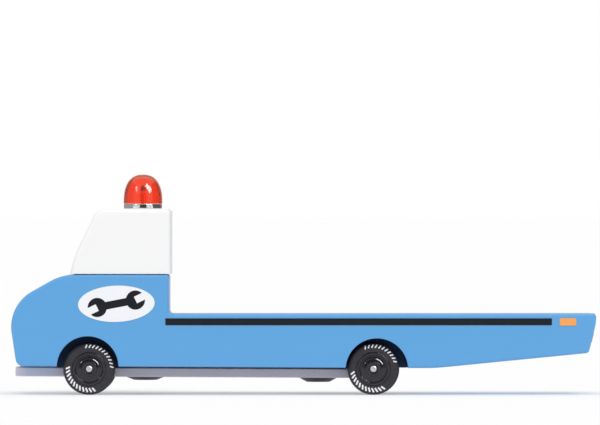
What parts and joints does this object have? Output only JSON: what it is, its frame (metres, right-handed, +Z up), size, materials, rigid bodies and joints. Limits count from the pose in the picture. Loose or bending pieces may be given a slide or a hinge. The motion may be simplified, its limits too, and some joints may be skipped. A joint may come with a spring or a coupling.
{
  "type": "toy flatbed tow truck",
  "caption": "Wooden toy flatbed tow truck with a raised cab, a clear red roof beacon, a plastic chassis plate and wheelsets that roll.",
  "frame": {"origin": "middle of the truck's length and width, on the floor that it stands on", "axes": "+X towards the tail (the truck faces -X), +Y towards its right side, +Z up"},
  "size_m": [0.2078, 0.041, 0.0783],
  "materials": {
    "blue_paint": "sky-blue satin paint over sanded wood",
    "white_paint": "white satin paint over sanded wood",
    "pale_wood": "bare beech",
    "white_print": "white printed label",
    "black_print": "black print",
    "orange_print": "orange print",
    "red_print": "red print",
    "grey_plastic": "moulded, lilac grey",
    "black_plastic": "moulded, glossy black",
    "white_plastic": "natural nylon",
    "rubber": "matt black rubber with white moulded dashes",
    "steel": "plated steel",
    "chrome": "polished",
    "red_lens": "clear red moulding"
  },
  "bodies": {
    "truck": {"body": "blue_paint", "cab": "white_paint", "chassis_plate": "grey_plastic", "beacon_base": "chrome", "beacon_lens": "red_lens", "beacon_bulb": "red_lens", "cab_dowel_front": "pale_wood", "chassis_plug_front": "black_plastic", "chassis_screw_front": "steel", "cab_dowel_rear": "pale_wood", "chassis_plug_rear": "black_plastic", "chassis_screw_rear": "steel", "door_label_left": "white_print", "side_stripe_left": "black_print", "side_marker_left": "orange_print", "headlamp_left": "white_print", "tail_lamp_left": "red_print", "door_label_right": "white_print", "side_stripe_right": "black_print", "side_marker_right": "orange_print", "headlamp_right": "white_print", "tail_lamp_right": "red_print", "axle_bush_front_left": "white_plastic", "axle_bush_front_right": "white_plastic", "axle_bush_rear_left": "white_plastic", "axle_bush_rear_right": "white_plastic"},
    "front_wheelset": {"front_axle": "steel", "rim_front_left": "black_plastic", "tyre_front_left": "rubber", "rim_front_right": "black_plastic", "tyre_front_right": "rubber"},
    "rear_wheelset": {"rear_axle": "steel", "rim_rear_left": "black_plastic", "tyre_rear_left": "rubber", "rim_rear_right": "black_plastic", "tyre_rear_right": "rubber"}
  },
  "joints": [
    {"name": "front_axle_spin", "type": "hinge", "parent": "truck", "child": "front_wheelset", "pos_m": [-0.07625, 0, 0.0092], "axis": [0, 1, 0], "continuous": true},
    {"name": "rear_axle_spin", "type": "hinge", "parent": "truck", "child": "rear_wheelset", "pos_m": [0.0248, 0, 0.0092], "axis": [0, 1, 0], "continuous": true}
  ]
}
